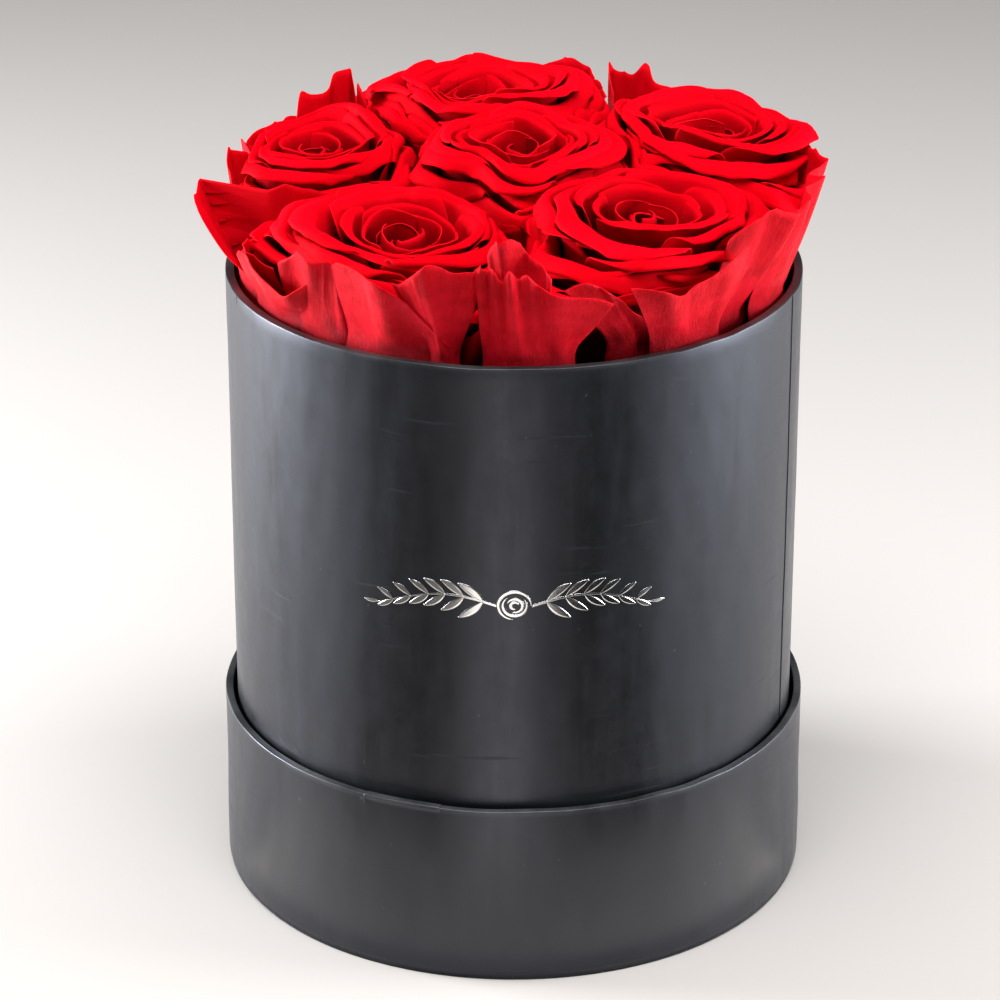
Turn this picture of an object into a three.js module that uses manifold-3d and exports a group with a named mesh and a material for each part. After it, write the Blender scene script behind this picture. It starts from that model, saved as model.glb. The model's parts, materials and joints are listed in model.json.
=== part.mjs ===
// A round flower box. A rigid paperboard tube stands inside its own upturned lid and is
// packed with dry foam, which holds six rose heads on short stems: one in the middle and
// five around it. The box lifts out of the lid, and each rose pulls up out of the foam.
//
// Millimetres, +Z up. The origin is the centre of the lid's underside, on the table,
// and the front of the box faces -Y.

import * as THREE from 'three';
import { mergeVertices } from 'three/addons/utils/BufferGeometryUtils.js';
import Module from 'manifold-3d';

const wasm = await Module();
wasm.setup();

// ---------- driving dimensions ----------

const boxRadius = 80; // outside of the box's side wrap, above the tabs under it
const rimHeight = 181; // top of the box above the table
const lidRadius = 83.4; // outside of the lid's side wrap, above the tabs under it
const lidHeight = 52.5;

const paper = 0.25; // covering paper
const glue = 0.1; // clear line between two layers
const boxBoard = 1.8; // greyboard of the box and of both round panels
const lidBoard = 1.5; // greyboard of the lid's wall
const tabHeight = 12; // the tabs of a round cover sheet, turned up the wall under the side wrap
const wrapLift = 0.8; // from the bottom edge up to the side wrap
const turnIn = 15; // how far a side wrap turns in over the rim

const foamGap = 1; // round the foam discs
const foamSplit = 70; // height of the joint between the two foam discs
const foamTop = 135;

const stemRadius = 2.6;
const stemInFoam = 48;
const stemHoleGap = 0.4;
const calyxRadius = 9;
const calyxHeight = 8;
const headHeight = 56; // from the foot of the calyx to the face of the bloom
const petalGap = 0.4; // between pieces of one rose
const bowlGap = 1.6; // round the inner petals, whose flats cross those of the bowl they sit in
const flareAboveRim = 0.62; // how far the outer petals lean out for each mm above the rim
const neighbourGap = 0.45; // from a rose to the plane it shares with a neighbour

const wallSides = 48; // flats round the box, the lid and the foam
const petalSides = 24; // flats round a rose head
const stemSides = 10;

// Where each rose stands: its distance from the axis, its direction in degrees from +X,
// the height of its face above the table, and how wide it opens.
const roses = [
  { name: 'centre_rose', ring: 5, angle: 80, face: 211, bloom: 31 },
  { name: 'front_left_rose', ring: 48, angle: 231, face: 206, bloom: 34 },
  { name: 'front_right_rose', ring: 49, angle: 316, face: 208, bloom: 34 },
  { name: 'right_rose', ring: 58, angle: 26, face: 214, bloom: 31 },
  { name: 'back_rose', ring: 53, angle: 98, face: 213, bloom: 33 },
  { name: 'left_rose', ring: 57, angle: 159, face: 206, bloom: 31 },
];

// ---------- worked-out values ----------

const lidWallOuter = lidRadius - paper - glue;
const lidWallInner = lidWallOuter - lidBoard;
const lidLiningOuter = lidWallInner - glue;
const lidLiningInner = lidLiningOuter - paper;
const lidPanelBottom = paper + glue;
const lidPanelTop = lidPanelBottom + boxBoard;
const lidFloorTop = lidPanelTop + glue + paper;

const boxBottom = lidFloorTop + glue;
const boxWallOuter = boxRadius - paper - glue;
const boxWallInner = boxWallOuter - boxBoard;
const boxLiningOuter = boxWallInner - glue;
const boxLiningInner = boxLiningOuter - paper;
const boxPanelBottom = boxBottom + paper + glue;
const boxPanelTop = boxPanelBottom + boxBoard;
const boxFloorTop = boxPanelTop + glue + paper;

const foamRadius = boxLiningInner - foamGap;
const petalWall = boxLiningInner * Math.cos(Math.PI / wallSides) - petalGap; // room inside the flats
const flareStart = rimHeight + 0.5;

// ---------- materials ----------

const finish = (color, roughness) => new THREE.MeshStandardMaterial({ color, roughness, metalness: 0 });

const materials = {
  wrap: finish(0x1b1e21, 0.42),
  lining: finish(0x141517, 0.6),
  greyboard: finish(0x8a8378, 0.9),
  foam: finish(0x4d6b45, 0.95),
  outerPetals: finish(0xc4101f, 0.55),
  innerPetals: finish(0xdd0618, 0.5),
  calyx: finish(0x3f5c2e, 0.7),
  stem: finish(0x4b6a35, 0.65),
};

// ---------- helpers ----------

const flowerBox = new THREE.Group();

function addMesh(name, geometry, material) {
  const mesh = new THREE.Mesh(geometry, material);
  mesh.name = name;
  flowerBox.add(mesh);
  return mesh;
}

// Turns a profile of [radius, height] pairs about the vertical axis.
function turned(profile, sides = wallSides) {
  const points = profile.map(([radius, height]) => new THREE.Vector2(radius, height));
  const geometry = new THREE.LatheGeometry(points, sides);
  geometry.rotateX(Math.PI / 2);
  return geometry;
}

function disc(radius, bottom, top) {
  return turned([[0, bottom], [radius, bottom], [radius, top], [0, top]]);
}

function ring(inner, outer, bottom, top) {
  return turned([[outer, bottom], [outer, top], [inner, top], [inner, bottom], [outer, bottom]]);
}

// The round cover sheet under a panel, and the tabs along its edge, which are glued up the wall.
function addCoverSheet(prefix, wallOuter, bottom) {
  const inner = wallOuter + glue;
  const outer = inner + paper;
  const tabBottom = bottom + paper + glue;
  addMesh(`${prefix}_sheet`, disc(outer, bottom, bottom + paper), materials.wrap);
  addMesh(`${prefix}_sheet_tabs`, ring(inner, outer, tabBottom, bottom + tabHeight), materials.wrap);
}

// A side wrap: it covers the tabs at the foot, steps in above them, and turns in over the rim.
function foldedWrap(wallOuter, wallInner, sheetBottom, top) {
  const under = wallOuter + glue;
  const outer = under + paper;
  const step = paper + glue;
  const bottom = sheetBottom + wrapLift;
  const tabTop = sheetBottom + tabHeight + glue;
  const stepTop = tabTop + step;
  const foldInner = wallInner - glue - paper;
  const foldEnd = top - turnIn;
  return turned([
    [outer + step, bottom],
    [outer + step, tabTop],
    [outer, stepTop],
    [outer, top],
    [foldInner, top],
    [foldInner, foldEnd],
    [foldInner + paper, foldEnd],
    [foldInner + paper, top - paper],
    [under, top - paper],
    [under, stepTop],
    [under + step, tabTop],
    [under + step, bottom],
    [outer + step, bottom],
  ]);
}

// ---------- the lid, upside down as a base ----------

function buildLid() {
  addCoverSheet('lid_top', lidWallOuter, 0);
  addMesh('lid_panel_board', disc(lidWallInner - glue, lidPanelBottom, lidPanelTop), materials.greyboard);
  const wallTop = lidHeight - paper - glue;
  addMesh('lid_wall_board', ring(lidWallInner, lidWallOuter, lidPanelBottom, wallTop), materials.greyboard);
  addMesh('lid_side_wrap', foldedWrap(lidWallOuter, lidWallInner, 0, lidHeight), materials.wrap);
  const liningTop = lidHeight - turnIn - glue;
  const liningBottom = lidPanelTop + glue;
  addMesh('lid_lining', ring(lidLiningInner, lidLiningOuter, liningBottom, liningTop), materials.lining);
  addMesh('lid_inner_sheet', disc(lidLiningInner - glue, liningBottom, lidFloorTop), materials.lining);
}

// ---------- the box ----------

function buildBox() {
  addCoverSheet('box_base', boxWallOuter, boxBottom);
  addMesh('box_base_board', disc(boxWallInner - glue, boxPanelBottom, boxPanelTop), materials.greyboard);
  const wallTop = rimHeight - paper - glue;
  addMesh('box_wall_board', ring(boxWallInner, boxWallOuter, boxPanelBottom, wallTop), materials.greyboard);
  addMesh('box_side_wrap', foldedWrap(boxWallOuter, boxWallInner, boxBottom, rimHeight), materials.wrap);
  const liningTop = rimHeight - turnIn - glue;
  const liningBottom = boxPanelTop + glue;
  addMesh('box_lining', ring(boxLiningInner, boxLiningOuter, liningBottom, liningTop), materials.lining);
  addMesh('box_floor_sheet', disc(boxLiningInner - glue, liningBottom, boxFloorTop), materials.lining);
}

// ---------- the foam ----------

// A closed geometry as a solid that can be cut.
function toSolid(geometry) {
  const plain = geometry.clone();
  plain.deleteAttribute('normal');
  plain.deleteAttribute('uv');
  const merged = mergeVertices(plain);
  return new wasm.Manifold(new wasm.Mesh({
    numProp: 3,
    vertProperties: new Float32Array(merged.attributes.position.array),
    triVerts: new Uint32Array(merged.index.array),
  }));
}

function toGeometry(solid) {
  const mesh = solid.getMesh();
  const geometry = new THREE.BufferGeometry();
  geometry.setAttribute('position', new THREE.BufferAttribute(mesh.vertProperties, 3));
  geometry.setIndex(new THREE.BufferAttribute(mesh.triVerts, 1));
  geometry.computeVertexNormals();
  return geometry;
}

function stemCentre(rose) {
  const angle = THREE.MathUtils.degToRad(rose.angle);
  return new THREE.Vector2(rose.ring * Math.cos(angle), rose.ring * Math.sin(angle));
}

// An upright round bar from one height to another, standing at a point.
function upright(radius, bottom, top, centre) {
  const bar = new THREE.CylinderGeometry(radius, radius, top - bottom, stemSides);
  bar.rotateX(Math.PI / 2);
  bar.translate(centre.x, centre.y, (bottom + top) / 2);
  return bar;
}

function buildFoam() {
  addMesh('foam_disc_lower', disc(foamRadius, boxFloorTop + foamGap, foamSplit), materials.foam);
  let upper = toSolid(disc(foamRadius, foamSplit + petalGap, foamTop));
  for (const rose of roses) {
    const holeBottom = foamTop - stemInFoam - foamGap;
    const hole = upright(stemRadius + stemHoleGap, holeBottom, foamTop + foamGap, stemCentre(rose));
    upper = upper.subtract(toSolid(hole));
  }
  addMesh('foam_disc_upper', toGeometry(upper), materials.foam);
}

// ---------- the roses ----------

// How far a rose may reach from its own centre in one direction, at one height: to the plane
// halfway to each neighbour, and to the box wall or, above the rim, a little out over it.
function reach(rose, direction, height) {
  const centre = stemCentre(rose);
  const wall = petalWall + Math.max(0, height - flareStart) * flareAboveRim;
  const along = centre.dot(direction);
  let limit = -along + Math.sqrt(along * along - centre.lengthSq() + wall * wall);
  for (const other of roses) {
    if (other === rose) {
      continue;
    }
    const between = stemCentre(other).sub(centre);
    const towards = between.dot(direction) / between.length();
    if (towards > 0) {
      limit = Math.min(limit, (between.length() / 2 - neighbourGap) / towards);
    }
  }
  return limit;
}

// A turned head, narrowed in each direction as far as its neighbours and the wall need.
function pressedHead(rose, profile) {
  const geometry = turned(profile, petalSides);
  const position = geometry.attributes.position;
  const centre = stemCentre(rose);
  for (let i = 0; i < position.count; i += 1) {
    const flat = new THREE.Vector2(position.getX(i), position.getY(i));
    if (flat.length() > 0.001) {
      const limit = reach(rose, flat.clone().normalize(), position.getZ(i));
      flat.multiplyScalar(Math.min(1, limit / rose.bloom));
    }
    position.setXY(i, flat.x + centre.x, flat.y + centre.y);
  }
  return geometry;
}

function buildRose(rose) {
  const { name, face, bloom } = rose;
  const foot = face - headHeight;
  const centre = stemCentre(rose);
  const stemTop = foot - petalGap;

  const stemBottom = foamTop - stemInFoam;
  addMesh(`${name}_stem`, upright(stemRadius, stemBottom, stemTop, centre), materials.stem);

  const calyx = turned([
    [0, foot],
    [stemRadius + 1, foot],
    [calyxRadius, foot + calyxHeight * 0.6],
    [calyxRadius - 1.5, foot + calyxHeight],
    [0, foot + calyxHeight],
  ], stemSides);
  calyx.translate(centre.x, centre.y, 0);
  addMesh(`${name}_calyx`, calyx, materials.calyx);

  // The outer petals form a deep bowl round the inner ones.
  const bowlFoot = foot + calyxHeight + petalGap;
  const bowlFloor = bowlFoot + 6;
  const outerProfile = [
    [0, bowlFoot],
    [calyxRadius, bowlFoot],
    [bloom * 0.72, bowlFoot + 11],
    [bloom * 0.92, flareStart],
    [bloom, face - 10],
    [bloom, face - 4],
    [bloom * 0.86, face - 2],
    [bloom * 0.74, face - 8],
    [bloom * 0.42, bowlFloor + 12],
    [0, bowlFloor],
  ];
  addMesh(`${name}_outer_petals`, pressedHead(rose, outerProfile), materials.outerPetals);

  // The inner petals fill that bowl and crown it.
  const innerProfile = [
    [0, bowlFloor + bowlGap],
    [bloom * 0.42 - bowlGap, bowlFloor + 12],
    [bloom * 0.74 - bowlGap, face - 8],
    [bloom * 0.74 - bowlGap, face - 3],
    [bloom * 0.4, face],
    [bloom * 0.15, face - 2],
    [0, face - 3],
  ];
  addMesh(`${name}_inner_petals`, pressedHead(rose, innerProfile), materials.innerPetals);
}

buildLid();
buildBox();
buildFoam();
roses.forEach(buildRose);

export default flowerBox;
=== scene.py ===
"""A round flower box: black paper-covered board, standing in its own lid, full of preserved red roses.

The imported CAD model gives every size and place. Shapes are worked out here in millimetres and
turned into metres when a mesh is made. The front of the box faces -Y, and +Z is up.
"""
import json
import math

import bpy
import numpy as np
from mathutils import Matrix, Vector


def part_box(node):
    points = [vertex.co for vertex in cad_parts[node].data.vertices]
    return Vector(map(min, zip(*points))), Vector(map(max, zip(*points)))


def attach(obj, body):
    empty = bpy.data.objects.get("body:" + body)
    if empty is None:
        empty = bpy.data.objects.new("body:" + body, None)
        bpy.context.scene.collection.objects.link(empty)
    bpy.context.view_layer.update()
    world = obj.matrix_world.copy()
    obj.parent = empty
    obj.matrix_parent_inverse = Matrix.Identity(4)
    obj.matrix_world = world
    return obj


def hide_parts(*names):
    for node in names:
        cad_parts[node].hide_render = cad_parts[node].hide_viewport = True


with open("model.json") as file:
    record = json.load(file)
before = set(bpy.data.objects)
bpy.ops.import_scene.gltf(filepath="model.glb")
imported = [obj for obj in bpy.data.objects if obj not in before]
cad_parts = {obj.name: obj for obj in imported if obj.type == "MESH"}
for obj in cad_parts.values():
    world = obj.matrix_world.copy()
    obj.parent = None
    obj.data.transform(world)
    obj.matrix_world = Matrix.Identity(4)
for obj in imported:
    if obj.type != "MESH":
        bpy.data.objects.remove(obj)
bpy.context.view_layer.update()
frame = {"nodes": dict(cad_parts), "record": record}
MM = 0.001
GOLDEN_ANGLE = math.radians(137.508)


# ---------- sizes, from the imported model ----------

def low_high(node):
    """The lowest and highest corners of a CAD node, in millimetres."""
    low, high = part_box(node)
    return np.array(low) / MM, np.array(high) / MM


PAPER = low_high("box_floor_sheet")[1][2] - low_high("box_floor_sheet")[0][2]
GLUE = low_high("box_wall_board")[0][2] - low_high("box_base_sheet")[1][2]
BOX_RIM = low_high("box_side_wrap")[1][2]
BOX_WALL = low_high("box_wall_board")[1][0]
BOX_INSIDE = low_high("box_lining")[1][0] - PAPER
LID_RIM = low_high("lid_side_wrap")[1][2]
LID_WALL = low_high("lid_wall_board")[1][0]
LID_INSIDE = low_high("lid_lining")[1][0] - PAPER
BOX_RADIUS = BOX_WALL + GLUE + PAPER

ROSES = ("centre_rose", "front_left_rose", "front_right_rose", "right_rose", "back_rose", "left_rose")


# ---------- meshes ----------

def linked(name, data):
    """An object of a mesh, light or camera, in the scene."""
    made = bpy.data.objects.new(name, data)
    bpy.context.scene.collection.objects.link(made)
    return made


def add_piece(name, mesh, materials):
    """A smooth-shaded object of a mesh, in the scene."""
    mesh.polygons.foreach_set("use_smooth", np.ones(len(mesh.polygons), bool))
    for material in materials:
        mesh.materials.append(material)
    mesh.validate()
    return linked(name, mesh)


def make_object(name, points, faces, materials, material_of_face=None, petal_uv=None):
    """An object from points in millimetres and faces that all have as many corners."""
    mesh = bpy.data.meshes.new(name)
    points = np.asarray(points, float)
    faces = np.asarray(faces, np.int32)
    mesh.vertices.add(len(points))
    mesh.vertices.foreach_set("co", (points * MM).astype(np.float32).ravel())
    corners = faces.shape[1]
    mesh.loops.add(faces.size)
    mesh.loops.foreach_set("vertex_index", faces.ravel())
    mesh.polygons.add(len(faces))
    mesh.polygons.foreach_set("loop_start", np.arange(0, faces.size, corners, dtype=np.int32))
    if material_of_face is not None:
        mesh.polygons.foreach_set("material_index", np.asarray(material_of_face, np.int32))
    if petal_uv is not None:
        attribute = mesh.attributes.new("petal_uv", "FLOAT_VECTOR", "POINT")
        attribute.data.foreach_set("vector", np.asarray(petal_uv, np.float32).ravel())
    mesh.update(calc_edges=True)
    return add_piece(name, mesh, materials)


def grid_faces(rows, columns, wrap_rows=False, wrap_columns=False):
    """Quads over a grid of points numbered row by row."""
    row = np.arange(rows if wrap_rows else rows - 1)
    column = np.arange(columns if wrap_columns else columns - 1)
    r, c = np.meshgrid(row, column, indexing="ij")
    r2 = (r + 1) % rows
    c2 = (c + 1) % columns
    quads = np.stack([r * columns + c, r * columns + c2, r2 * columns + c2, r2 * columns + c], axis=-1)
    return quads.reshape(-1, 4)


def turned(name, profile, angles, materials, shape=None):
    """A closed ring: a profile of (radius, height), up its outside and down its inside, turned.

    shape, if any, takes bearings, radii and heights and gives changed radii and heights."""
    profile = np.asarray(profile, float)
    radius = np.repeat(profile[None, :, 0], len(angles), axis=0)
    height = np.repeat(profile[None, :, 1], len(angles), axis=0)
    if shape is not None:
        radius, height = shape(bearing_of(angles)[:, None] + 0 * radius, radius, height)
    points = stacked(radius * np.cos(angles)[:, None], radius * np.sin(angles)[:, None], height)
    faces = grid_faces(len(angles), len(profile), wrap_rows=True, wrap_columns=True)[:, ::-1]
    return make_object(name, points.reshape(-1, 3), faces, materials)


def solid_of_turning(name, profile, materials, sides, centre=(0, 0)):
    """A closed round solid: a profile of (radius, height) from foot to top, turned and capped."""
    radii, heights = np.array(profile, float).T
    angles = np.linspace(0, 2 * math.pi, sides, endpoint=False)
    ring = stacked(np.cos(angles), np.sin(angles))
    plan = np.asarray(centre) + ring[None] * radii[:, None, None]
    levels = np.repeat(heights[:, None, None], sides, axis=1)
    walls = np.concatenate([plan, levels], axis=-1).reshape(-1, 3)
    ends = [[*centre, heights[0]], [*centre, heights[-1]]]
    i = np.arange(sides)
    after = (i + 1) % sides
    last = (len(heights) - 1) * sides
    foot = np.stack([after, i, np.full(sides, len(walls))], axis=-1)
    head = np.stack([last + i, last + after, np.full(sides, len(walls) + 1)], axis=-1)
    quads = grid_faces(len(heights), sides, wrap_columns=True)
    mesh = bpy.data.meshes.new(name)
    faces = quads.tolist() + foot.tolist() + head.tolist()
    mesh.from_pydata((np.vstack([walls, ends]) * MM).tolist(), [], faces)
    return add_piece(name, mesh, materials)


# ---------- noise and curves ----------

def smooth(x, low=0.0, high=1.0):
    """0 below low, 1 above high, smooth between."""
    t = np.clip((np.asarray(x, float) - low) / (high - low), 0, 1)
    return t * t * (3 - 2 * t)


def stacked(*values):
    """Values brought to one shape and stacked as coordinates."""
    return np.stack(np.broadcast_arrays(*values), axis=-1)


def waves(points, seed, wavelength, count=5):
    """A smooth random value, about -1 to 1, at each point."""
    random = np.random.RandomState(seed)
    points = np.asarray(points, float)
    total = np.zeros(points.shape[:-1])
    for _ in range(count):
        direction = random.normal(size=points.shape[-1])
        direction *= 2 * math.pi / wavelength / np.linalg.norm(direction) * random.uniform(0.7, 1.4)
        total += np.sin(points @ direction + random.uniform(0, 2 * math.pi))
    return total / math.sqrt(count)


def drift(points, seed, wavelength, size):
    """A smooth random push at each point."""
    pushes = [waves(points, seed + axis, wavelength) for axis in range(points.shape[-1])]
    return np.stack(pushes, axis=-1) * size


def catmull_weights(t):
    """The weights of four keys in a row, between the middle two, of a Catmull-Rom curve."""
    return np.stack([
        -0.5 * t + t ** 2 - 0.5 * t ** 3,
        1 - 2.5 * t ** 2 + 1.5 * t ** 3,
        0.5 * t + 2 * t ** 2 - 1.5 * t ** 3,
        -0.5 * t ** 2 + 0.5 * t ** 3,
    ])


def patch(keys, a, b):
    """A smooth surface through keys[i, j], at a from 0 to 1 along i and b from 0 to 1 along j."""
    rows, columns = keys.shape[:2]
    x = np.clip(a, 0, 1) * (rows - 1)
    y = np.clip(b, 0, 1) * (columns - 1)
    i = np.minimum(x.astype(int), rows - 2)
    j = np.minimum(y.astype(int), columns - 2)
    wi = catmull_weights(x - i)
    wj = catmull_weights(y - j)
    total = 0
    for m in range(4):
        for n in range(4):
            row = np.clip(i + m - 1, 0, rows - 1)
            column = np.clip(j + n - 1, 0, columns - 1)
            total = total + keys[row, column] * (wi[m] * wj[n])[..., None]
    return total


# ---------- the room that each rose has ----------

def rose_facts(name):
    """Where a rose stands, from its CAD pieces."""
    low, high = low_high(f"{name}_stem")
    foot = low_high(f"{name}_calyx")[0][2]
    face = low_high(f"{name}_inner_petals")[1][2]
    return {"centre": ((low + high) / 2)[:2], "foot": foot, "face": face, "stem": (low[2], high[2])}


FACTS = {name: rose_facts(name) for name in ROSES}
NEIGHBOUR_GAP = 0.35
BORDER_WAVE = 1.8
BORDER_WAVELENGTH = 30

# Places near the wall where one rose's petals reach over a neighbour's: where, the push that gives
# the place to that rose, and how wide the place is.
BORDER_PUSHES = (
    ((-5.0, -80.0), (14.0, 0.0), 14.0),
    ((-87.0, -6.0), (9.0, -25.0), 13.0),
    ((28.0, 72.0), (9.0, -4.0), 8.0),
)


def wandering(plan):
    """Plan positions pushed about smoothly, so that the borders between roses aren't straight."""
    pushed = plan + drift(plan, 40, BORDER_WAVELENGTH, BORDER_WAVE)
    for place, push, width in BORDER_PUSHES:
        near = np.exp(-((plan - place) ** 2).sum(-1) / (2 * width ** 2))
        pushed = pushed + near[..., None] * push
    return pushed


def inside_margin(plan, name):
    """How far inside its own cell a plan position is: the least distance to a border."""
    pushed = wandering(plan)
    own = FACTS[name]["centre"]
    margin = np.full(plan.shape[:-1], 1e9)
    for other in ROSES:
        if other == name:
            continue
        centre = FACTS[other]["centre"]
        apart = np.linalg.norm(centre - own)
        difference = ((pushed - centre) ** 2).sum(-1) - ((pushed - own) ** 2).sum(-1)
        margin = np.minimum(margin, difference / (2 * apart))
    return margin


LIMIT_STEPS = 720
LIMIT_REACH = np.arange(6.0, 70.0, 0.2)
ROUNDING = LIMIT_STEPS // 18


def cell_limits(name):
    """How far the cell of a rose reaches from its centre, in each of LIMIT_STEPS directions."""
    angle = np.linspace(-math.pi, math.pi, LIMIT_STEPS, endpoint=False)
    direction = stacked(np.cos(angle), np.sin(angle))
    plan = FACTS[name]["centre"] + direction[:, None, :] * LIMIT_REACH[None, :, None]
    outside = inside_margin(plan, name) < NEIGHBOUR_GAP
    outside[:, -1] = True
    return LIMIT_REACH[outside.argmax(axis=1)]


def rounded(limits):
    """The same limits with the corners of the cell cut off, never beyond the true limits."""
    around = np.concatenate([limits[-ROUNDING:], limits, limits[:ROUNDING]])
    window = 2 * ROUNDING + 1
    average = np.convolve(around, np.full(window, 1 / window), mode="valid")
    return np.minimum(limits, average)


LIMITS = {name: cell_limits(name) for name in ROSES}
ROUND_LIMITS = {name: rounded(LIMITS[name]) for name in ROSES}
RIM_CLEARANCE = 0.7  # from the lining to the petals
LEAN_START = BOX_RIM + 1.2  # the height where petals begin to lean out
RIM_LEAN = 0.62  # how far guard petals lean out for each millimetre above that
GUARD_ROOM = 4.2  # what the guard petals take up between the lining and the roses
FIRM_CORE = 0.45  # the share of a rose's room in which nothing gives way
SQUEEZE_RISE = 0.15
MOST_SQUEEZE = 14
HOLD_SOFTNESS = 1.5


def wall_radius(height, inset, lean):
    """How far from the box's axis petals may be: inside the lining, and leaning out over the rim."""
    above = np.maximum(height - LEAN_START, 0)
    return BOX_INSIDE - RIM_CLEARANCE - inset + lean * above


def room(points, name, wall, limits):
    """How far each point's direction is free from its rose's centre, and how far out the point is."""
    centre = FACTS[name]["centre"]
    flat = points[..., :2] - centre
    distance = np.linalg.norm(flat, axis=-1)
    direction = flat / np.maximum(distance, 1e-6)[..., None]
    angle = np.arctan2(flat[..., 1], flat[..., 0])
    angles = np.linspace(-math.pi, math.pi, LIMIT_STEPS + 1)
    limit = np.interp(angle, angles, np.append(limits[name], limits[name][0]))
    along = (direction * centre).sum(-1)
    to_wall = -along + np.sqrt(np.maximum(along ** 2 - (centre ** 2).sum() + wall ** 2, 0))
    return direction, distance, np.minimum(limit, to_wall)


def squeeze(points, name, natural, limits):
    """Petals that would spread as far as natural give way evenly, to fit the room they have."""
    wall = wall_radius(points[..., 2], GUARD_ROOM, STYLES[name]["spread"])
    direction, distance, limit = room(points, name, wall, limits)
    start = FIRM_CORE * limit
    share = np.clip((distance - start) / np.maximum(natural - start, 1e-6), 0, 1)
    given_way = start + share * (limit - start)
    pressed = np.where((natural > limit) & (distance > start), given_way, distance)
    pressed = np.minimum(pressed, limit)
    moved = points.copy()
    moved[..., :2] = FACTS[name]["centre"] + direction * pressed[..., None]
    moved[..., 2] += SQUEEZE_RISE * np.clip(distance - pressed, 0, MOST_SQUEEZE)
    return moved


def hold_back(points, name, inset):
    """Points near or past the edge of a rose's room are held just inside it."""
    direction, distance, limit = room(points, name, wall_radius(points[..., 2], inset, RIM_LEAN), LIMITS)
    over = np.maximum(distance - (limit - HOLD_SOFTNESS), 0)
    held = np.where(over > 0, limit - HOLD_SOFTNESS * np.exp(-over / HOLD_SOFTNESS), distance)
    moved = points.copy()
    moved[..., :2] = FACTS[name]["centre"] + direction * held[..., None]
    return moved


# ---------- petals ----------

PETAL_THICKNESS = (0.34, 0.16)  # in the middle and at the edges


def petal_shell(points, thickness):
    """A closed thin sheet of a grid of points [across, along]: its points, faces, face kinds and uv.

    thickness is that of the middle and of the edges. Face kinds are 0 for the outer face, 1 for the
    inner face and 2 for the edge."""
    middle, edge = thickness
    across, along = points.shape[:2]
    normal = np.cross(np.gradient(points, axis=0), np.gradient(points, axis=1))
    normal /= np.maximum(np.linalg.norm(normal, axis=-1), 1e-9)[..., None]
    u = np.linspace(-1, 1, across)[:, None]
    v = np.linspace(0, 1, along)[None, :]
    to_edge = np.minimum(smooth(1 - np.abs(u), 0, 0.12), smooth(1 - v, 0, 0.08))
    half = 0.5 * (edge + (middle - edge) * to_edge)[..., None]
    front = points + normal * half
    back = points - normal * half
    count = across * along
    sheet = grid_faces(across, along)
    index = np.arange(count).reshape(across, along)
    border = np.concatenate([index[0, :-1], index[:-1, -1], index[-1, :0:-1], index[:0:-1, 0]])
    after = np.roll(border, -1)
    side = np.stack([border, after, after + count, border + count], axis=-1)
    faces = np.vstack([sheet[:, ::-1], sheet + count, side])
    kinds = np.concatenate([np.zeros(len(sheet)), np.ones(len(sheet)), np.full(len(side), 2)])
    uv = stacked(u, v, 0).reshape(-1, 3)
    return np.vstack([front.reshape(-1, 3), back.reshape(-1, 3)]), faces, kinds, np.vstack([uv, uv])


def petal_object(name, petals, materials, thickness=PETAL_THICKNESS):
    """One object of many thin sheets, such as petals, each given as a grid of points."""
    points, faces, kinds, uvs = [], [], [], []
    offset = 0
    for number, grid in enumerate(petals):
        shell_points, shell_faces, shell_kinds, uv = petal_shell(grid, thickness)
        uv[:, 2] = number
        points.append(shell_points)
        faces.append(shell_faces + offset)
        kinds.append(shell_kinds)
        uvs.append(uv)
        offset += len(shell_points)
    return make_object(
        name, np.vstack(points), np.vstack(faces), materials,
        np.minimum(np.concatenate(kinds), len(materials) - 1), np.vstack(uvs)
    )


# Meridians of the nested petals, from the heart of the rose outwards, each from its foot to its
# tip: how far out as a share of the bloom's radius, and the height above the face in millimetres.
SHELLS = np.array([
    [(0.01, -38), (0.03, -29), (0.045, -21), (0.055, -15), (0.05, -10), (0.035, -7.0), (0.02, -6.0)],
    [(0.03, -40), (0.09, -31), (0.13, -22), (0.155, -15), (0.16, -9), (0.15, -5.2), (0.125, -4.2)],
    [(0.05, -41), (0.16, -33), (0.24, -24), (0.28, -15), (0.29, -8), (0.30, -3.4), (0.31, -2.2)],
    [(0.08, -42), (0.23, -36), (0.34, -26), (0.385, -16), (0.41, -8), (0.45, -2.0), (0.51, -1.2)],
    [(0.11, -43), (0.31, -38), (0.44, -28), (0.50, -17), (0.54, -7.5), (0.62, -0.6), (0.73, -1.0)],
    [(0.14, -44), (0.38, -40), (0.55, -30), (0.62, -18), (0.67, -8), (0.77, -1.2), (0.91, -3.4)],
    [(0.17, -45), (0.45, -42), (0.65, -32), (0.73, -20), (0.79, -10), (0.91, -4.0), (1.06, -7.5)],
    [(0.20, -46), (0.53, -44), (0.78, -34), (0.87, -23), (0.95, -14), (1.07, -8.5), (1.21, -12.5)],
    [(0.22, -46), (0.60, -45), (0.90, -36), (1.03, -27), (1.13, -18), (1.27, -12.5), (1.41, -15.5)],
])

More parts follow.
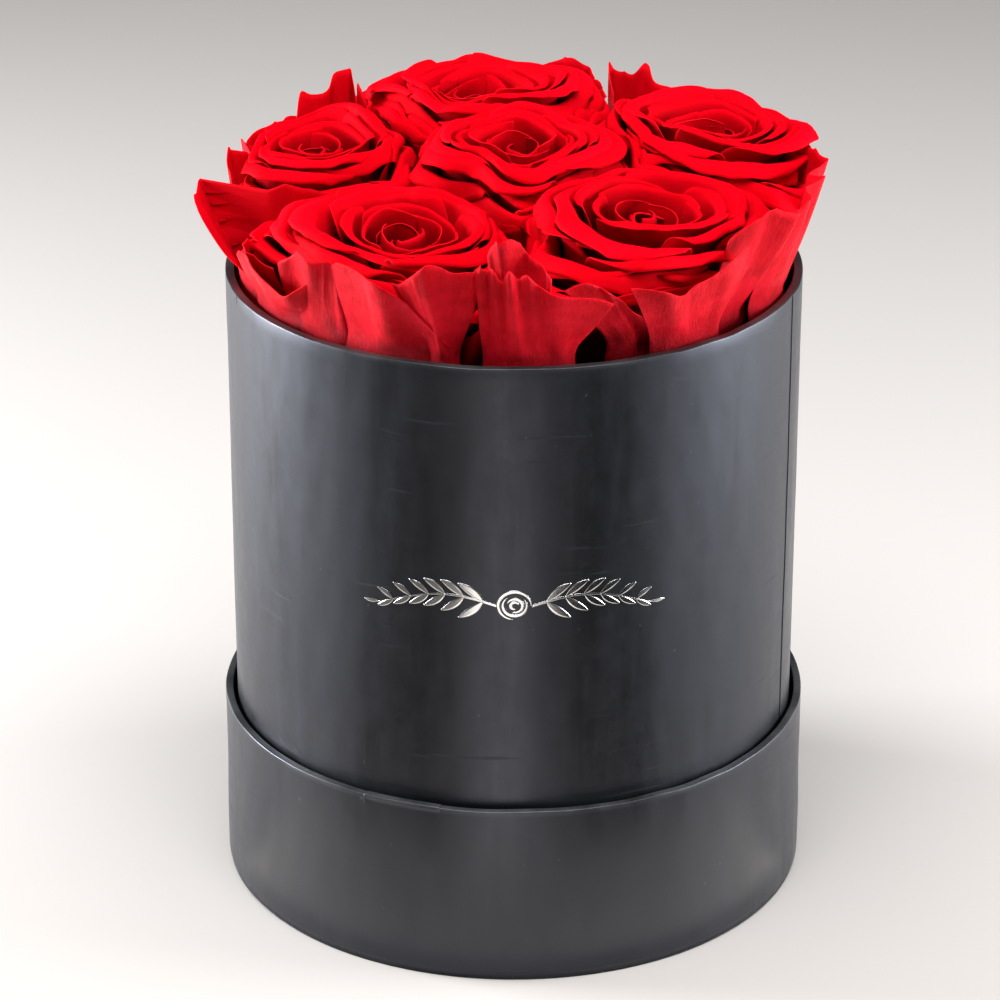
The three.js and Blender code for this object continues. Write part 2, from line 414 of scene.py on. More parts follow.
# How each rose differs: how wide it opens, how far and which way its heart lies off centre, how
# much its petals ripple, the number that seeds its chances, which way it leans, in degrees, how
# high it stands, and how far its face spreads over the rim.
STYLE_KEYS = ("bloom", "heart", "ripple", "seed", "tilt", "lift", "spread")
STYLES = {name: dict(zip(STYLE_KEYS, values)) for name, *values in (
    ("centre_rose", 30.5, (0.5, 0.5), 0.9, 11, (0, -5), 6.5, 0.4),
    ("front_left_rose", 34.5, (1.0, -4.0), 1.3, 23, (3, -3), 1.5, 0.36),
    ("front_right_rose", 36, (-1.5, -1.0), 0.8, 37, (4, -3), 4, 0.36),
    ("right_rose", 33, (1.0, -2.0), 1.1, 41, (6, 0), 2, 0.55),
    ("back_rose", 34, (-4.0, -4.0), 1.0, 59, (0, -1), 4.5, 0.36),
    ("left_rose", 32, (-2.0, -3.0), 1.0, 67, (-2, -2), 5.5, 0.2),
)}

INNER_PETALS = 10
FACE_PETALS = 20  # with the inner ones
SKIRT_PETALS = 12
INNER_GRID = (30, 20)  # points across and along a petal
OUTER_GRID = (44, 26)
# Where petals stand between the heart, 0, and the outermost, 1.
Q_HEART = 0.055
Q_FACE = 6.3 / 8
Q_SKIRT = (0.82, 1.0)
WIDEST_BEND = 1.5  # radians to each side
HEART_STRAY = 1.5
# How far petals would spread if they had room, as shares of the bloom.
FACE_REACH = 1.1
SKIRT_REACH = 1.3


def edge_points(u, random, height, width):
    """Small sharp points along a petal's edge, with hollows between them."""
    total = height * random.uniform(0.2, 1.0) * np.exp(-np.abs(u - random.uniform(-0.15, 0.15)) / width)
    for side in (-1, 1):
        place = side * random.uniform(0.3, 0.8)
        total = total + height * random.uniform(0.0, 0.9) * np.exp(-np.abs(u - place) / width)
    return total


def place_petal(style, random, q, turn, across, along):
    """The grid of points of one petal round the rose's own axis, with its face at height 0."""
    u = np.linspace(-1, 1, across)[:, None]
    v = (np.linspace(0, 1, along) ** 0.85)[None, :]
    drop = random.uniform(0.04, 0.10) + 0.05 * q
    roundness = random.uniform(1.8, 3.2)
    reach = 0.97 - drop * np.abs(u) ** roundness + edge_points(u, random, 0.02 + 0.045 * q, 0.08)
    reach = reach + 0.010 * np.sin(u * random.uniform(5, 9) + random.uniform(0, 6)) * q
    s = np.clip(v * reach, 0, 1)
    spiral = random.uniform(-0.01, 0.055)
    curl = random.uniform(-0.02, 0.06) * smooth(q, 0.2, 0.6)
    depth = q + random.uniform(-0.012, 0.012) + spiral * u
    depth = depth + curl * (np.abs(u) ** 3 - 0.3) * smooth(s, 0.5, 1)
    radius_height = patch(SHELLS, depth, s)
    late = smooth(s, 0.60, 1.0)
    lip = smooth(s, 0.80, 1.0)
    radius = radius_height[..., 0] * style["bloom"] * (1 + random.uniform(-0.05, 0.07) * late)
    height = radius_height[..., 1] + random.uniform(-2.8, 1.2) * q * smooth(s, 0.3, 1)
    width = (7.0 + 27 * q ** 0.8) * random.uniform(0.85, 1.15)
    half_width = width * (0.38 + 0.62 * np.sin(np.clip(s / 0.75, 0, 1.2) * math.pi / 2))
    bend = np.minimum(half_width / np.maximum(radius, 3.0), WIDEST_BEND)
    angle = turn + u * bend
    ripple = style["ripple"] * (0.2 + 1.1 * q)
    beat = random.uniform(2.2, 4.6)
    phase = random.uniform(0, 6.28)
    height = height + ripple * late * np.sin(u * beat + phase)
    crinkle = waves(stacked(u * 3.0, s * 2.0, phase), 5, 1.0)
    height = height + 0.28 * ripple * smooth(s, 0.55, 1.0) * crinkle
    rolled = random.uniform(-0.4, 1.8) + random.uniform(0.4, 3.0) * np.abs(u) ** 2.2
    height = height - lip * rolled * (0.25 + q)
    radius = radius - lip * np.abs(u) ** 3 * random.uniform(0, 2.0) * q
    radius = radius + 0.5 * ripple * late * np.sin(u * beat * 0.8 + phase + 1.5)
    points = stacked(radius * np.cos(angle), radius * np.sin(angle), height)
    stray = random.uniform(-1, 1, 3) * HEART_STRAY * (1 - smooth(q, 0.1, 0.6))
    return points + stray * smooth(s, 0.2, 0.8)[..., None]


def lean(points, name):
    """Tilts and shifts a petal of a rose from its own axis into the box."""
    style = STYLES[name]
    facts = FACTS[name]
    moved = points + drift(points, style["seed"], 26, 0.9) * smooth(points[..., 2], -40, -10)[..., None]
    near_heart = np.exp(-(np.linalg.norm(points[..., :2], axis=-1) / (0.5 * style["bloom"])) ** 2)
    up = smooth(points[..., 2], -40, -8)
    moved[..., 0] += style["heart"][0] * near_heart * up
    moved[..., 1] += style["heart"][1] * near_heart * up
    moved[..., 2] += style["lift"] * up
    lean_x, lean_y = (math.radians(a) for a in style["tilt"])
    arm = moved[..., 2] + 30
    x = moved[..., 0] + arm * math.sin(lean_x)
    y = moved[..., 1] + arm * math.sin(lean_y)
    z = moved[..., 2] - moved[..., 0] * math.sin(lean_x) - moved[..., 1] * math.sin(lean_y)
    return stacked(x + facts["centre"][0], y + facts["centre"][1], z + facts["face"])


def rose_petals(name):
    """All petals of one rose: the inner ones, and the outer ones of its face and round its sides."""
    style = STYLES[name]
    random = np.random.RandomState(style["seed"])
    inner, outer = [], []
    start = random.uniform(0, 6.28)
    bloom = style["bloom"]
    for number in range(FACE_PETALS):
        q = Q_HEART + (number / (FACE_PETALS - 1)) ** 0.88 * (Q_FACE - Q_HEART)
        turn = start + number * GOLDEN_ANGLE + random.uniform(-0.2, 0.2)
        size = INNER_GRID if number < INNER_PETALS else OUTER_GRID
        grid = lean(place_petal(style, random, q, turn, *size), name)
        grid = squeeze(grid, name, bloom * FACE_REACH, ROUND_LIMITS)
        (inner if number < INNER_PETALS else outer).append(grid)
    for number in range(SKIRT_PETALS):
        q = Q_SKIRT[0] + (Q_SKIRT[1] - Q_SKIRT[0]) * number / (SKIRT_PETALS - 1)
        turn = start + (FACE_PETALS + number) * GOLDEN_ANGLE + random.uniform(-0.2, 0.2)
        grid = lean(place_petal(style, random, q, turn, *OUTER_GRID), name)
        outer.append(squeeze(grid, name, bloom * SKIRT_REACH, LIMITS))
    return inner, outer


# ---------- the guard petals, which stand against the lining and lean out over the rim ----------

# Each guard petal's rose, the two bearings between which it leaves the box, how deep it lies under
# the outermost ones, and its top edge from left to right as bearing, height and radius. A bearing
# is in degrees from the front of the box, towards the right side.
GUARDS = (
    ("left_rose", (-113, -97), 1.5,
     ((-116, 203, 78), (-111, 208, 81), (-106, 206, 79), (-102, 210, 82), (-99, 211, 81), (-96, 205, 79))),
    ("front_left_rose", (-106, -67), 0.3,
     ((-116, 201, 84), (-107, 206, 85), (-98, 209, 86), (-91, 207, 87), (-86.5, 204, 89), (-83, 199, 89))),
    ("front_left_rose", (-69, -46), 0.0,
     ((-66, 190, 80), (-64, 198, 84), (-58, 200, 85), (-52, 195, 82), (-48, 192, 84), (-43, 198, 83))),
    ("front_left_rose", (-54, -36), 0.9,
     ((-51, 200, 82), (-46, 205, 82), (-41, 206, 84), (-38, 205, 81), (-36, 203, 80))),
    ("front_left_rose", (-38, -13), 0.3,
     ((-38, 204, 81), (-34, 207, 84), (-28, 206, 83), (-22, 201, 83), (-18, 195, 82), (-13, 186, 79))),
    ("front_left_rose", (-18, -11), 0.0,
     ((-24, 204, 82), (-20, 207, 85), (-15, 212, 84), (-10, 210, 83), (-4, 209, 81))),
    ("front_right_rose", (-4, 6), 2.2,
     ((-5.5, 214, 79), (-3.5, 218, 80), (0, 218, 80), (3, 213, 79), (7, 207, 79))),
    ("front_right_rose", (-8, 12.5), 0.0,
     ((-8.0, 209, 80), (-6.3, 211, 83.5), (-5.2, 209, 80.5), (-4.0, 212, 84.5), (-2.6, 208, 81),
      (-1.2, 212, 84.5), (0.4, 208, 81.5), (2, 210, 84), (4, 207, 82.5), (7, 204, 83), (11, 203, 83),
      (15, 202.5, 84), (18, 201, 86))),
    ("front_right_rose", (19.5, 34), 4.0,
     ((8, 204, 81.5), (14, 205, 82.5), (19, 200, 82.5), (24, 193, 81), (32, 186, 79))),
    ("front_right_rose", (28, 47), 0.0,
     ((21, 203, 82), (27, 202, 85), (32, 199, 82), (38, 202, 84), (44, 206, 83), (50, 210, 85))),
    ("front_right_rose", (44, 64), 4.5,
     ((44, 209, 84), (50, 214, 87), (55, 216, 86.5), (60, 213, 89), (64, 208, 86))),
    ("front_right_rose", (58, 79), 0.0,
     ((59, 209, 84), (64, 214, 87), (69, 215, 84), (74, 217, 87), (79, 214, 84))),
    ("right_rose", (83, 104), 0.4,
     ((84, 211, 84), (89, 214, 85), (96, 213, 84), (103, 206, 82))),
    ("right_rose", (139, 161), 0.6,
     ((138.5, 205, 78), (140.5, 211, 79), (144, 212.5, 80), (148.5, 214, 80), (151.3, 218, 81),
      (154, 214, 79), (158, 215, 80), (160.5, 217, 80), (162, 210, 78))),
    ("back_rose", (162, 178), 0.4,
     ((161, 208, 76), (163.5, 215.5, 78), (168, 217, 79), (172, 215, 79), (178, 211, 78))),
    ("left_rose", (-153, -128), 0.2,
     ((-155, 205, 79), (-153, 212, 81), (-150.5, 214.5, 80), (-148, 214.5, 81), (-146.8, 207, 79),
      (-145.5, 216, 81), (-143, 219, 79), (-140, 218, 81), (-136.5, 214, 79), (-133, 214, 81),
      (-130, 216, 81), (-128, 207, 79))),
    ("front_left_rose", (-80, -58), 3.0,
     ((-76, 188, 79), (-71, 195, 80), (-66, 200, 81), (-61, 199, 82), (-56, 196, 80))),
)

# Where they stand evenly: the bearings of the middles of a rose's guard petals.
EVEN_GUARDS = {"right_rose": (99, 114, 130), "back_rose": (186, 201), "left_rose": (-122,)}
EVEN_HALF_SPAN = 9
EVEN_DEPTH = 0.8
GUARD_SEED = 100
EVEN_SEED = 200

GUARD_GRID = (64, 46)
CREASES = 3
GUARD_CURL = 2.6


def on_ring(bearing, radius):
    """Plan positions at a bearing and a distance from the axis of the box."""
    angle = np.radians(bearing)
    return stacked(radius * np.sin(angle), -radius * np.cos(angle))


def creases(u, v, random):
    """Sharp folds that run down from a petal's top edge, some out and some in."""
    total = 0
    for _ in range(CREASES):
        place = random.uniform(-0.95, 0.95)
        size = random.choice((-1, 1)) * random.uniform(0.3, 1.1)
        reach = random.uniform(0.45, 0.85)
        total = total + size * np.exp(-np.abs(u - place) / 0.07) * smooth(v, reach, 1.0)
    return total


def guard_petal(name, rim_span, depth, top, seed):
    """The grid of points of one guard petal, from the rose's foot, up the lining and over the rim."""
    random = np.random.RandomState(seed)
    top = np.asarray(top, float)
    count = len(top)
    facts = FACTS[name]
    rim_bearing = np.linspace(*rim_span, count)
    curl_in = GUARD_CURL * np.abs(np.linspace(-1, 1, count)) ** 2.5
    wall = BOX_INSIDE - RIM_CLEARANCE - depth - curl_in
    at_rim = on_ring(rim_bearing, wall)
    at_top = on_ring(top[:, 0], top[:, 2] - depth * 0.6 - 0.5 * curl_in)
    outwards = at_rim - facts["centre"]
    neck = facts["centre"] + outwards / np.linalg.norm(outwards, axis=-1)[:, None] * 4.0
    halfway = on_ring((rim_bearing + top[:, 0]) / 2, (wall + top[:, 2]) / 2 - depth * 0.3)
    levels = (
        (neck, facts["foot"] + 1),
        (facts["centre"] + 0.62 * outwards, facts["foot"] + 8),
        (facts["centre"] + 0.93 * outwards, facts["foot"] + 19),
        (at_rim, BOX_RIM - 4),
        (at_rim, BOX_RIM + 3),
        (halfway, (BOX_RIM + top[:, 1]) / 2 + 1.5),
        (at_top, top[:, 1]),
    )
    keys = np.stack([np.column_stack([flat, np.full(count, high)]) for flat, high in levels], axis=1)
    across, along = GUARD_GRID
    u = np.linspace(-1, 1, across)[:, None]
    v = np.linspace(0, 1, along)[None, :]
    ragged = edge_points(u, random, 0.03, 0.07) + 0.008 * waves(stacked(u * 1.6, 0), seed, 1.0)
    grid = patch(keys, (u + 1) / 2 + 0 * v, v * (0.965 + ragged))
    plan = grid[..., :2]
    out = plan / np.linalg.norm(plan, axis=-1)[..., None]
    pleats = waves(stacked(u * 0.9, v * 0.6, seed), 3, 1.0)
    fine = waves(stacked(u * 3.2 + 0.8 * v, v * 1.8 + 0.5 * u, seed), 9, 1.0)
    push = 1.9 * pleats * smooth(v, 0.45, 1.0) + 0.25 * fine * smooth(v, 0.45, 0.95)
    push = push + creases(u + 0.06 * np.sin(5 * v), v, random)
    push = np.where(push < 0, 0.55 * push, push)
    grid[..., :2] += out * push[..., None]
    grid[..., 2] += 0.15 * fine * smooth(v, 0.8, 1)
    return hold_back(grid, name, depth)


def even_top(bearing, random):
    """The top edge of a plain guard petal about a bearing."""
    spread = random.uniform(12, 15)
    shares = np.array([-1, -0.6, 0, 0.6, 1])
    height = random.uniform(203, 209) - 6 * shares ** 4 + random.uniform(-1.5, 1.5, 5)
    radius = 83 + random.uniform(-1.5, 1.5, 5)
    return np.column_stack([bearing + shares * spread, height, radius])


def guard_petals(name):
    """All guard petals of one rose: the ones that are placed, then the ones that stand evenly."""
    petals = []
    for number, (rose, span, depth, top) in enumerate(GUARDS):
        if rose == name:
            petals.append(guard_petal(name, span, depth, top, GUARD_SEED + number))
    for number, bearing in enumerate(EVEN_GUARDS.get(name, ())):
        random = np.random.RandomState(STYLES[name]["seed"] + 7 * number)
        top = even_top(bearing, random)
        span = (bearing - EVEN_HALF_SPAN, bearing + EVEN_HALF_SPAN)
        petals.append(guard_petal(name, span, EVEN_DEPTH * (number % 2), top, EVEN_SEED + 9 * number))
    return petals


# ---------- materials ----------

def new_material(name, **values):
    """A material with its Principled node's own sockets set, and that node and its tree."""
    material = bpy.data.materials.new(name)
    material.use_nodes = True
    tree = material.node_tree
    shader = tree.nodes["Principled BSDF"]
    for socket, value in values.items():
        shader.inputs[socket.replace("_", " ")].default_value = value
    return material, tree, shader


def ramp(tree, source, *stops):
    """A colour ramp on source, with stops of (position, colour or shade of grey)."""
    node = tree.nodes.new("ShaderNodeValToRGB")
    elements = node.color_ramp.elements
    while len(elements) < len(stops):
        elements.new(0.5)
    for element, (position, colour) in zip(elements, stops):
        element.position = position
        element.color = (*colour, 1) if isinstance(colour, tuple) else (colour, colour, colour, 1)
    tree.links.new(source, node.inputs["Fac"])
    return node.outputs["Color"]


def noise(tree, vector, scale, detail=3.0, roughness=0.5, distortion=0.0):
    """A noise texture's value at vector."""
    node = tree.nodes.new("ShaderNodeTexNoise")
    node.inputs["Distortion"].default_value = distortion
    node.inputs["Scale"].default_value = scale
    node.inputs["Detail"].default_value = detail
    node.inputs["Roughness"].default_value = roughness
    tree.links.new(vector, node.inputs["Vector"])
    return node.outputs["Fac"]


def bump(tree, shader, height, strength, distance_mm):
    """Gives a shader fine relief."""
    node = tree.nodes.new("ShaderNodeBump")
    node.inputs["Strength"].default_value = strength
    node.inputs["Distance"].default_value = distance_mm * MM
    tree.links.new(height, node.inputs["Height"])
    tree.links.new(node.outputs["Normal"], shader.inputs["Normal"])


def stretched(tree, vector, stretch):
    """A vector stretched per axis."""
    mapping = tree.nodes.new("ShaderNodeMapping")
    mapping.inputs["Scale"].default_value = stretch
    tree.links.new(vector, mapping.inputs["Vector"])
    return mapping.outputs["Vector"]


def object_vector(tree, stretch=(1, 1, 1)):
    """Positions on the object, in metres, stretched per axis."""
    coordinates = tree.nodes.new("ShaderNodeTexCoord")
    return stretched(tree, coordinates.outputs["Object"], stretch)


def petal_vector(tree, stretch):
    """Positions on a petal: across, along and its number, stretched per axis."""
    attribute = tree.nodes.new("ShaderNodeAttribute")
    attribute.attribute_name = "petal_uv"
    return stretched(tree, attribute.outputs["Vector"], stretch)


def mix(tree, blend, first, second):
    """Two colours blended fully: "ADD" or "MULTIPLY"."""
    node = tree.nodes.new("ShaderNodeMix")
    node.data_type = "RGBA"
    node.blend_type = blend
    node.inputs["Factor"].default_value = 1.0
    tree.links.new(first, node.inputs["A"])
    tree.links.new(second, node.inputs["B"])
    return node.outputs["Result"]


def painted_foot_shade(tree, colour, darkest, low, high):
    """A petal's colour with painted shade: darker towards the petal's foot, where shade falls deep in the
    rose.
    """
    along = tree.nodes.new("ShaderNodeSeparateXYZ")
    tree.links.new(petal_vector(tree, (1, 1, 1)), along.inputs["Vector"])
    shadow = ramp(tree, along.outputs["Y"], (low, darkest), (high, 1))
    return mix(tree, "MULTIPLY", colour, shadow)


TRANSLUCENT = dict(Subsurface_Weight=0.15, Subsurface_Radius=(1.0, 0.06, 0.05), Subsurface_Scale=0.0015)


def petal_material(name, shade, light, roughness, specular, sheen, veins):
    """Velvety petal: a red that varies from petal to petal, with fine veins running along it."""
    material, tree, shader = new_material(
        name,
        Roughness=roughness,
        Sheen_Weight=sheen,
        Sheen_Roughness=0.4,
        Sheen_Tint=(1.0, 0.30, 0.34, 1),
        Specular_IOR_Level=specular,
        Specular_Tint=(1.0, 0.35, 0.38, 1),
        **TRANSLUCENT,
    )
    patches = noise(tree, petal_vector(tree, (0.8, 1.2, 3.1)), 1.0, 2.0)
    colour = ramp(tree, patches, (0.3, shade), (0.7, light))
    # painted shade: each petal's colour darkens towards its foot
    tree.links.new(painted_foot_shade(tree, colour, 0.12, 0.46, 0.82), shader.inputs["Base Color"])
    vein = noise(tree, petal_vector(tree, (15, 3.0, 3.7)), 1.0, 5.0, 0.65)
    bump(tree, shader, vein, veins, 0.5)
    return material


def guard_material():
    """The back of a guard petal: a little paler, finely wrinkled, with a soft sheen in patches, real where
    the roughness drops and painted where the colour turns lighter.
    """
    material, tree, shader = new_material(
        "guard_petal_back",
        Sheen_Weight=0.06,
        Sheen_Roughness=0.35,
        Sheen_Tint=(1.0, 0.20, 0.26, 1),
        Specular_IOR_Level=0.16,
        Specular_Tint=(1.0, 0.16, 0.24, 1),
        **TRANSLUCENT,
    )
    patches = noise(tree, object_vector(tree), 120, 4.0, 0.6)
    # the lighter patches are partly random tone and partly painted sheen
    colour = ramp(tree, patches, (0.32, (0.52, 0.0002, 0.005)), (0.74, (0.90, 0.006, 0.022)))
    # painted shade: each guard petal's colour darkens towards its foot
    tree.links.new(painted_foot_shade(tree, colour, 0.25, 0.50, 0.78), shader.inputs["Base Color"])
    tree.links.new(ramp(tree, patches, (0.35, 0.62), (0.70, 0.40)), shader.inputs["Roughness"])
    wrinkle = noise(tree, petal_vector(tree, (30, 18.0, 3.7)), 1.0, 6.0, 0.75, 0.9)
    bump(tree, shader, wrinkle, 1.0, 0.9)
    return material


def painted_rim_highlight(tree, vector, rim):
    """A painted highlight: a pale line along the fold at a rim, stronger in some places than in others."""
    place = tree.nodes.new("ShaderNodeSeparateXYZ")
    tree.links.new(vector, place.inputs["Vector"])
    line = ramp(tree, place.outputs["Z"], ((rim - 0.42) * MM, 0), ((rim - 0.12) * MM, 0.085))
    patches = ramp(tree, noise(tree, vector, 70, 3.0, 0.6), (0.38, 0.25), (0.62, 1))
    return mix(tree, "MULTIPLY", line, patches)


def paper_material(name, rim):
    """Black soft-touch paper: satin, with a fine grain, soft streaks and faint scuffs, and a painted
    highlight along the fold at the rim.
    """
    material, tree, shader = new_material(name, Specular_IOR_Level=0.58, Specular_Tint=(0.74, 0.80, 1.0, 1))
    vector = object_vector(tree)
    cloudy = noise(tree, vector, 25, 4.0, 0.6)
    black = ramp(tree, cloudy, (0.3, (0.0048, 0.0049, 0.0051)), (0.8, (0.0090, 0.0088, 0.0088)))
    dust = ramp(tree, noise(tree, vector, 520, 1.0), (0.785, 0), (0.82, (0.035, 0.035, 0.037)))
    dusty = mix(tree, "ADD", black, dust)
    # painted highlight: a pale line added to the colour along the fold at the rim
    tree.links.new(mix(tree, "ADD", dusty, painted_rim_highlight(tree, vector, rim)), shader.inputs["Base Color"])
    streaks = noise(tree, object_vector(tree, (1, 1, 0.12)), 95, 5.0, 0.7)
    satin = ramp(tree, streaks, (0.3, 0.29), (0.72, 0.44))
    dashes = noise(tree, object_vector(tree, (1, 1, 20)), 34, 1.0, 0.5, 0.35)
    scratched = mix(tree, "ADD", satin, ramp(tree, dashes, (0.72, 0), (0.76, 0.13)))
    mottled = ramp(tree, noise(tree, vector, 160, 4.0, 0.7), (0.35, 0), (0.75, 0.07))
    tree.links.new(mix(tree, "ADD", scratched, mottled), shader.inputs["Roughness"])
    grain = noise(tree, vector, 2600, 2.0)
    bump(tree, shader, grain, 0.12, 0.05)
    return material


def plain_material(name, shade, light, scale, roughness, strength=0.3, depth=0.2):
    """A matte material whose colour and surface vary with one noise."""
    material, tree, shader = new_material(name, Roughness=roughness)
    grain = noise(tree, object_vector(tree), scale, 6.0, 0.65)
    tree.links.new(ramp(tree, grain, (0.3, shade), (0.7, light)), shader.inputs["Base Color"])
    bump(tree, shader, grain, strength, depth)
    return material


def foil_material():
    """Bright silver foil, slightly crinkled."""
    material, tree, shader = new_material(
        "silver_foil", Metallic=1.0, Roughness=0.22, Base_Color=(0.62, 0.62, 0.64, 1)
    )
    crinkle = noise(tree, object_vector(tree), 420, 3.0)
    bump(tree, shader, crinkle, 0.25, 0.05)
    return material


PAPER_BLACK = paper_material("black_wrap_paper", BOX_RIM)
LID_BLACK = paper_material("black_lid_paper", LID_RIM)
LINING_BLACK = plain_material("black_lining_paper", (0.010, 0.009, 0.009), (0.016, 0.014, 0.014), 900, 0.6)
GREYBOARD = plain_material("greyboard", (0.20, 0.18, 0.15), (0.34, 0.31, 0.27), 700, 0.9)
FOAM_GREEN = plain_material("dry_foam", (0.035, 0.07, 0.03), (0.09, 0.15, 0.07), 1400, 0.95, 0.9, 0.6)
CALYX_GREEN = plain_material("calyx_green", (0.03, 0.075, 0.012), (0.09, 0.16, 0.035), 260, 0.6)
STEM_GREEN = plain_material("stem_green", (0.05, 0.09, 0.02), (0.12, 0.17, 0.06), 320, 0.55)
FOIL = foil_material()
PETAL_FRONT = petal_material(
    "petal_inner_face", (0.46, 0.0001, 0.0036), (0.66, 0.0003, 0.0062), 0.7, 0.02, 0.0, 0.12
)
PETAL_BACK = petal_material(
    "petal_outer_face", (0.42, 0.0002, 0.0040), (0.60, 0.0012, 0.0080), 0.65, 0.03, 0.0, 0.25
)
# painted highlight: the petals' edges are a lighter, pinker red than their faces, as if catching light
PETAL_EDGE_HIGHLIGHT = petal_material("petal_edge_painted_highlight", (0.56, 0.002, 0.008), (0.76, 0.008, 0.017), 0.6, 0.05, 0.0, 0.1)
GUARD_FRONT = petal_material(
    "guard_petal_front", (0.34, 0.0001, 0.003), (0.52, 0.0004, 0.006), 0.7, 0.03, 0.0, 0.30
)
GUARD_BACK = guard_material()

SLOT_MATERIALS = {
    "black_wrap_paper": PAPER_BLACK,
    "black_lining_paper": LINING_BLACK,
    "greyboard": GREYBOARD,
    "dry_foam": FOAM_GREEN,
    "calyx_green": CALYX_GREEN,
    "stem_green": STEM_GREEN,
}


def finish_piece(piece, body, node):
    """Says which body a piece moves with and which CAD node it replaces."""
    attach(piece, body)
    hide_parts(node)


# ---------- the paper pieces ----------

TABS = {"box": "box_base_sheet_tabs", "lid": "lid_top_sheet_tabs"}
TAB_BUMP = GLUE + PAPER  # how far a side wrap stands out over the tabs
TAB_COUNT = 80
TAB_CUT = 0.04
TAB_FADE = 20.0
TURN_IN = 15.0
FOLD = 0.32  # the radius of the fold at a rim
WRAP_LIFT = 1.0
SEAM_BEARING = 71.0
SEAM_STEP = 0.22
SEAM_LAP = 11.0
RIM_LAP = (-29.5, -14.0)  # between which bearings the paper is double at the lid's rim
BOX_TICK = -70.6
SHEET_RINGS = (0.15, 0.4, 0.65, 0.85, 0.97)  # shares of a round sheet's radius
SHEET_EDGE = 0.08
SHEET_SIDES = 192


def round_angles(*fine_places):
    """Angles round the box, closer together about the bearings where there is fine detail."""
    bearings = [np.linspace(-180, 180, TAB_COUNT * 12, endpoint=False)]
    for bearing in fine_places:
        bearings.append(bearing + np.linspace(-0.6, 0.6, 25))
    return np.radians(np.unique(np.round(np.concatenate(bearings), 3)) - 90)


def bearing_of(angles):
    """Bearings in degrees from the front, -180 to 180, of angles from +X."""
    return (np.degrees(angles) + 90 + 180) % 360 - 180


def seam_shape(bearing, seam, step, lap):
    """How far the paper stands out where its end laps over its start, with a groove at the edge."""
    past = (bearing - seam + 360) % 360
    lapped = smooth(past, 0, 0.10) * (1 - smooth(past, 0.3 * lap, lap)) * (past < lap)
    before = (seam - bearing + 360) % 360
    return step * lapped - 0.9 * step * np.exp(-((before - 0.10) / 0.08) ** 2)


def round_places(radius, bearing, third):
    """Places round the box where waves are taken, from a bearing in degrees."""
    angle = np.radians(bearing)
    return stacked(radius * np.sin(angle), radius * np.cos(angle), third)


def unevenness(radius, bearing, height):
    """The slight waviness of paper glued over board."""
    places = round_places(radius, bearing, height * 0.5)
    return 0.065 * waves(places, 71, 38) + 0.025 * waves(places, 75, 11)


def cut_nearness(bearing):
    """1 at the cut between two tabs, 0 in the middle of a tab."""
    return np.abs((bearing * TAB_COUNT / 360) % 1 - 0.5) * 2


def tab_marks(bearing, height, low, high):
    """The faint marks of the cut tabs under the foot of a side wrap."""
    cut = smooth(cut_nearness(bearing), 0.70, 1.0)
    within = smooth(height, low - 1, low) * (1 - smooth(height, high - 3, high + 1))
    plain = waves(stacked(bearing / 9, 0), 91, 1.0)
    return -TAB_CUT * cut * within * smooth(plain, 0.0, 1.5)


def wrap_profile(prefix, wall_outer, inside, rim):
    """The profile of a side wrap, from its foot up the outside, over the rim and down inside."""
    foot = low_high(f"{prefix}_side_wrap")[0][2] + WRAP_LIFT
    tabs = low_high(TABS[prefix])[1][2]
    outer = wall_outer + GLUE + PAPER
    middle = (outer + inside) / 2
    profile = [(outer + TAB_BUMP - 0.10, foot), (outer + TAB_BUMP, foot + 0.12)]
    profile += [(outer + TAB_BUMP, foot + i * (tabs - foot) / 9) for i in range(1, 9)]
    fades = np.linspace(0, 1, 12)
    profile += [(outer + TAB_BUMP * (1 - smooth(t)), tabs + TAB_FADE * t) for t in fades]
    straight = rim - tabs - TAB_FADE - FOLD
    profile += [(outer, tabs + TAB_FADE + straight * t) for t in np.linspace(0, 1, 40)[1:]]
    round_over = np.radians((22, 45, 68, 90))
    profile += [(outer - FOLD * (1 - math.cos(a)), rim - FOLD * (1 - math.sin(a))) for a in round_over]
    profile += [(middle, rim - 0.02)]
    round_in = np.radians((0, 22, 45, 68, 90))
    profile += [(inside + FOLD * (1 - math.sin(a)), rim - FOLD * (1 - math.cos(a))) for a in round_in]
    profile += [(inside, rim - TURN_IN * t) for t in (0.1, 0.3, 0.5, 0.75, 1.0)]
    return profile + [
        (inside + PAPER, rim - TURN_IN),
        (inside + PAPER, rim - 1.2),
        (middle, rim - PAPER - 0.05),
        (outer - PAPER, rim - 1.2),
        (outer - PAPER, tabs + TAB_FADE),
        (outer + TAB_BUMP - PAPER, tabs + 0.1),
        (outer + TAB_BUMP - PAPER, foot),
    ]


def rim_tick(bearing, height, rim, place):
    """A small crease down from the rim, where the folded-over paper laps over itself."""
    across = np.exp(-((bearing - place) / 0.10) ** 2)
    return 0.26 * across * smooth(height, rim - 2.6, rim - 1.8)


def rim_wave(radius, bearing, height, rim):
    """How the folded edge of the paper goes up and down a little along the rim."""
    return 0.10 * waves(round_places(radius, bearing, 0), 83, 16) * smooth(height, rim - 1.2, rim)


def box_wrap_shape(bearing, radius, height):
    """The box's side wrap: seam, unevenness and the crease at the rim."""
    outside = radius > BOX_WALL
    out = seam_shape(bearing, SEAM_BEARING, SEAM_STEP, SEAM_LAP) + unevenness(radius, bearing, height)
    out = out + rim_tick(bearing, height, BOX_RIM, BOX_TICK)
    return radius + out * outside, height + rim_wave(radius, bearing, height, BOX_RIM)


